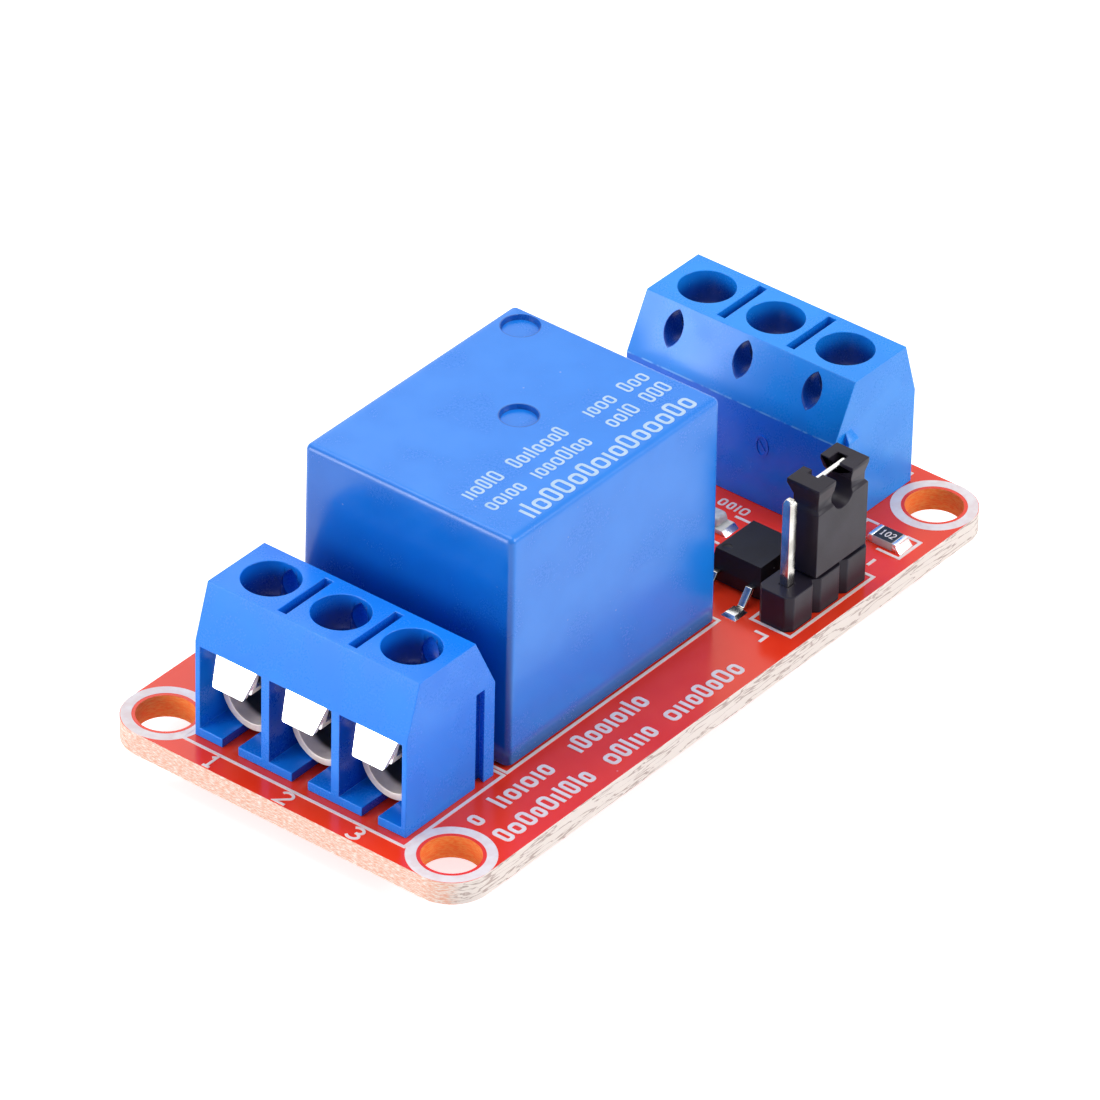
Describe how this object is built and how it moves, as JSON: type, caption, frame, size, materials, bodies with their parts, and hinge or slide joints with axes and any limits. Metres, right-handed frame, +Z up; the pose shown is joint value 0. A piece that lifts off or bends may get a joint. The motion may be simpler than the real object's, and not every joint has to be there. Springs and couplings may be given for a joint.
{
  "type": "relay module board",
  "caption": "Small circuit board with a sealed cube relay, screw terminal blocks at both ends, a pin header with a jumper, and surface-mounted drive parts.",
  "frame": {"origin": "centre of the board in X and Y, at the tips of the soldered pins", "axes": "+Z up out of the board, +X along the board towards the input terminal block, +Y across the board"},
  "size_m": [0.05, 0.026, 0.0185],
  "materials": {
    "board": "red solder mask over glass-fibre laminate",
    "terminal_plastic": "bright blue moulded nylon",
    "relay_plastic": "blue moulded cover, satin",
    "black_plastic": "black moulded plastic, satin",
    "black_resin": "black moulding resin",
    "bobbin_plastic": "natural moulded plastic",
    "tinned_metal": "tinned",
    "bright_tin": "bright tin plate",
    "screw_steel": "zinc plated",
    "solder": "bright solder",
    "iron": "soft iron, plated",
    "coil_copper": "enamelled copper wire",
    "contact_brass": "spring brass",
    "chip_glaze": "black glaze on ceramic",
    "lamp_base": "white laminate",
    "lamp_lens": "clear resin"
  },
  "bodies": {
    "module": {"circuit_board": "board", "solder_joints": "solder", "surface_solder": "solder", "output_housing": "terminal_plastic", "output_clamp_1": "tinned_metal", "output_clamp_2": "tinned_metal", "output_clamp_3": "tinned_metal", "input_housing": "terminal_plastic", "input_clamp_1": "tinned_metal", "input_clamp_2": "tinned_metal", "input_clamp_3": "tinned_metal", "relay_cover": "relay_plastic", "relay_base": "relay_plastic", "relay_yoke": "iron", "relay_core": "iron", "relay_bobbin": "bobbin_plastic", "relay_coil": "coil_copper", "relay_open_contact": "contact_brass", "relay_closed_contact": "contact_brass", "relay_coil_pins": "tinned_metal", "header_base": "black_plastic", "header_pin_1": "tinned_metal", "header_pin_2": "tinned_metal", "header_pin_3": "tinned_metal", "optocoupler_body": "black_resin", "optocoupler_leads": "tinned_metal", "transistor_body": "black_resin", "transistor_leads": "tinned_metal", "flyback_diode_body": "black_resin", "flyback_diode_leads": "tinned_metal", "resistor_1": "chip_glaze", "resistor_2": "chip_glaze", "resistor_3": "chip_glaze", "resistor_4": "chip_glaze", "resistor_end_caps": "solder", "power_lamp_base": "lamp_base", "power_lamp_lens": "lamp_lens", "switched_lamp_base": "lamp_base", "switched_lamp_lens": "lamp_lens"},
    "output_guard_1": {"output_guard_1": "bright_tin"},
    "output_screw_1": {"output_screw_1": "screw_steel"},
    "output_guard_2": {"output_guard_2": "bright_tin"},
    "output_screw_2": {"output_screw_2": "screw_steel"},
    "output_guard_3": {"output_guard_3": "bright_tin"},
    "output_screw_3": {"output_screw_3": "screw_steel"},
    "input_guard_1": {"input_guard_1": "bright_tin"},
    "input_screw_1": {"input_screw_1": "screw_steel"},
    "input_guard_2": {"input_guard_2": "bright_tin"},
    "input_screw_2": {"input_screw_2": "screw_steel"},
    "input_guard_3": {"input_guard_3": "bright_tin"},
    "input_screw_3": {"input_screw_3": "screw_steel"},
    "jumper": {"jumper_cap": "black_plastic", "jumper_clip": "tinned_metal"},
    "armature": {"relay_armature": "iron", "relay_moving_contact": "contact_brass"}
  },
  "joints": [
    {"name": "output_guard_1_slide", "type": "slide", "parent": "module", "child": "output_guard_1", "axis": [0, 0, -1], "range_m": [0, 0.0019]},
    {"name": "output_screw_1_turn", "type": "hinge", "parent": "output_guard_1", "child": "output_screw_1", "pos_m": [-0.01934, -0.00493, 0.009], "axis": [0, 0, -1], "range_deg": [0, 1370]},
    {"name": "output_guard_2_slide", "type": "slide", "parent": "module", "child": "output_guard_2", "axis": [0, 0, -1], "range_m": [0, 0.0019]},
    {"name": "output_screw_2_turn", "type": "hinge", "parent": "output_guard_2", "child": "output_screw_2", "pos_m": [-0.01934, 0.00015, 0.009], "axis": [0, 0, -1], "range_deg": [0, 1370]},
    {"name": "output_guard_3_slide", "type": "slide", "parent": "module", "child": "output_guard_3", "axis": [0, 0, -1], "range_m": [0, 0.0019]},
    {"name": "output_screw_3_turn", "type": "hinge", "parent": "output_guard_3", "child": "output_screw_3", "pos_m": [-0.01934, 0.00523, 0.009], "axis": [0, 0, -1], "range_deg": [0, 1370]},
    {"name": "input_guard_1_slide", "type": "slide", "parent": "module", "child": "input_guard_1", "axis": [0, 0, -1], "range_m": [0, 0.0019]},
    {"name": "input_screw_1_turn", "type": "hinge", "parent": "input_guard_1", "child": "input_screw_1", "pos_m": [0.02002, 0.00495, 0.009], "axis": [0, 0, -1], "range_deg": [0, 1370]},
    {"name": "input_guard_2_slide", "type": "slide", "parent": "module", "child": "input_guard_2", "axis": [0, 0, -1], "range_m": [0, 0.0019]},
    {"name": "input_screw_2_turn", "type": "hinge", "parent": "input_guard_2", "child": "input_screw_2", "pos_m": [0.02002, -0.00013, 0.009], "axis": [0, 0, -1], "range_deg": [0, 1370]},
    {"name": "input_guard_3_slide", "type": "slide", "parent": "module", "child": "input_guard_3", "axis": [0, 0, -1], "range_m": [0, 0.0019]},
    {"name": "input_screw_3_turn", "type": "hinge", "parent": "input_guard_3", "child": "input_screw_3", "pos_m": [0.02002, -0.00521, 0.009], "axis": [0, 0, -1], "range_deg": [0, 1370]},
    {"name": "jumper_pull", "type": "slide", "parent": "module", "child": "jumper", "axis": [0, 0, 1], "range_m": [0, 0.0062]},
    {"name": "armature_swing", "type": "hinge", "parent": "module", "child": "armature", "pos_m": [0.00321, -0.00022, 0.0146], "axis": [0, -1, 0], "range_deg": [0, 3.7], "stiffness_Nm_per_rad": 0.002, "springref_deg": -5.73}
  ],
  "couplings": [
    {"joint": "output_screw_1_turn", "follows": "output_guard_1_slide", "rad_per_m": 12566},
    {"joint": "output_screw_2_turn", "follows": "output_guard_2_slide", "rad_per_m": 12566},
    {"joint": "output_screw_3_turn", "follows": "output_guard_3_slide", "rad_per_m": 12566},
    {"joint": "input_screw_1_turn", "follows": "input_guard_1_slide", "rad_per_m": 12566},
    {"joint": "input_screw_2_turn", "follows": "input_guard_2_slide", "rad_per_m": 12566},
    {"joint": "input_screw_3_turn", "follows": "input_guard_3_slide", "rad_per_m": 12566}
  ]
}
